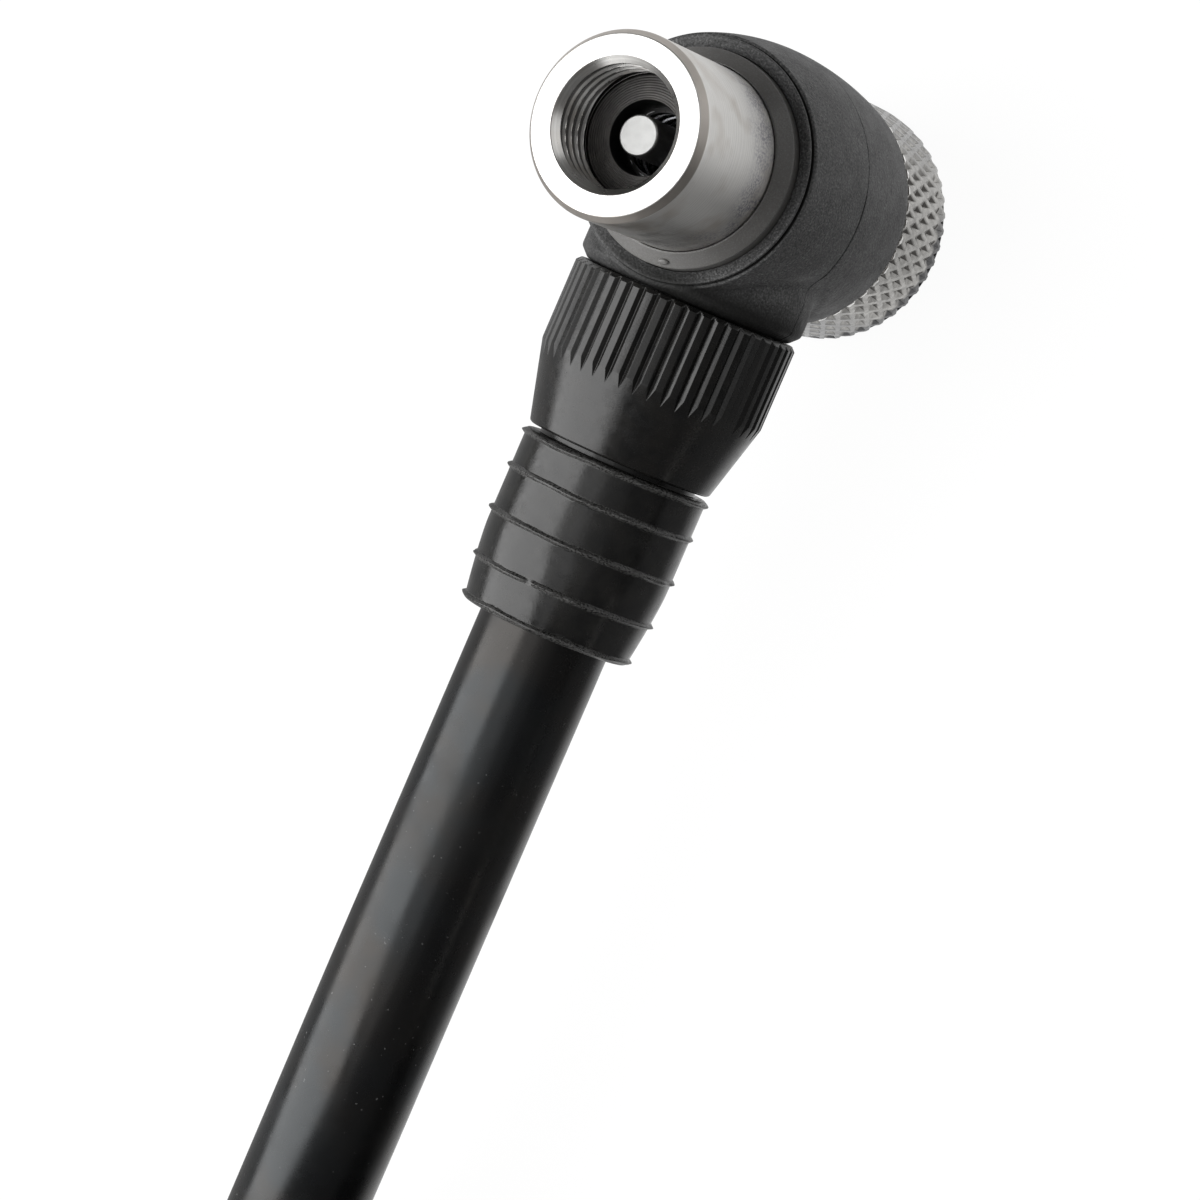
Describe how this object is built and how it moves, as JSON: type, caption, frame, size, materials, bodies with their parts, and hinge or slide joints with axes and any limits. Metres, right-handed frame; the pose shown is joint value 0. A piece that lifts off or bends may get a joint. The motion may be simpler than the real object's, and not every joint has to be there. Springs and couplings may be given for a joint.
{
  "type": "cable shutter release",
  "caption": "Air-worked shutter release: right-angle screw-on head with push pin and knurled knob, ribbed bend relief, coiled rubber hose and squeeze bulb with lock screw.",
  "frame": {"origin": "centre of the knurled knob's flat back, on which the head stands", "axes": "+Z along the collar's axis, out of its mouth; -Y along the hose arm; +X to the coil's side"},
  "size_m": [0.1198, 0.1669, 0.0342],
  "materials": {
    "housing": "fine-grained charcoal, matt",
    "bush": "satin black",
    "nut": "glossy black, moulded",
    "relief": "satin black rubber",
    "hose": "smooth satin black rubber",
    "collar": "satin nickel, turned",
    "knob": "bright nickel, diamond-knurled",
    "fittings": "bright nickel, turned",
    "pin": "ground steel",
    "spring": "drawn wire",
    "brass": "turned brass",
    "bearing": "sintered bronze",
    "washer": "white sliding plastic",
    "seal": "black seal rubber",
    "gasket": "dark grey, turned face",
    "bulb": "matt black rubber",
    "strap": "ribbed rubber strap"
  },
  "bodies": {
    "body": {"front_shell": "housing", "rear_shell": "housing", "shell_dowels": "pin", "front_bush": "bush", "rear_bush": "bearing", "thrust_washer": "washer", "air_block": "brass", "spindle_rings": "seal", "hose_nut": "nut", "hose_sleeve": "brass", "bend_relief": "relief", "hose_head_end": "hose", "hose_run": "hose", "hose_coil": "hose", "coil_strap": "strap", "hose_tail": "hose", "hose_hand_end": "hose", "crimp_sleeve": "fittings", "valve_body": "fittings", "squeeze_bulb": "bulb", "neck_band": "fittings"},
    "collar": {"collar_spindle": "collar", "face_gasket": "gasket", "spring_seat_ring": "pin", "return_spring": "spring", "knurled_knob": "knob", "knob_screw": "pin"},
    "pin": {"push_pin": "pin", "piston_ring": "seal"},
    "lock": {"lock_screw": "fittings"}
  },
  "joints": [
    {"name": "collar_turn", "type": "hinge", "parent": "body", "child": "collar", "pos_m": [0, 0, 0.0145], "axis": [0, 0, 1], "continuous": true},
    {"name": "pin_push", "type": "slide", "parent": "collar", "child": "pin", "axis": [0, 0, 1], "range_m": [0, 0.0045], "stiffness_N_per_m": 400, "springref_m": -0.002, "deforming": ["return_spring"]},
    {"name": "lock_turn", "type": "hinge", "parent": "body", "child": "lock", "pos_m": [0.0942, -0.05706, 0.01382], "axis": [0, -0.0836, 0.9965], "range_deg": [0, 360]}
  ]
}
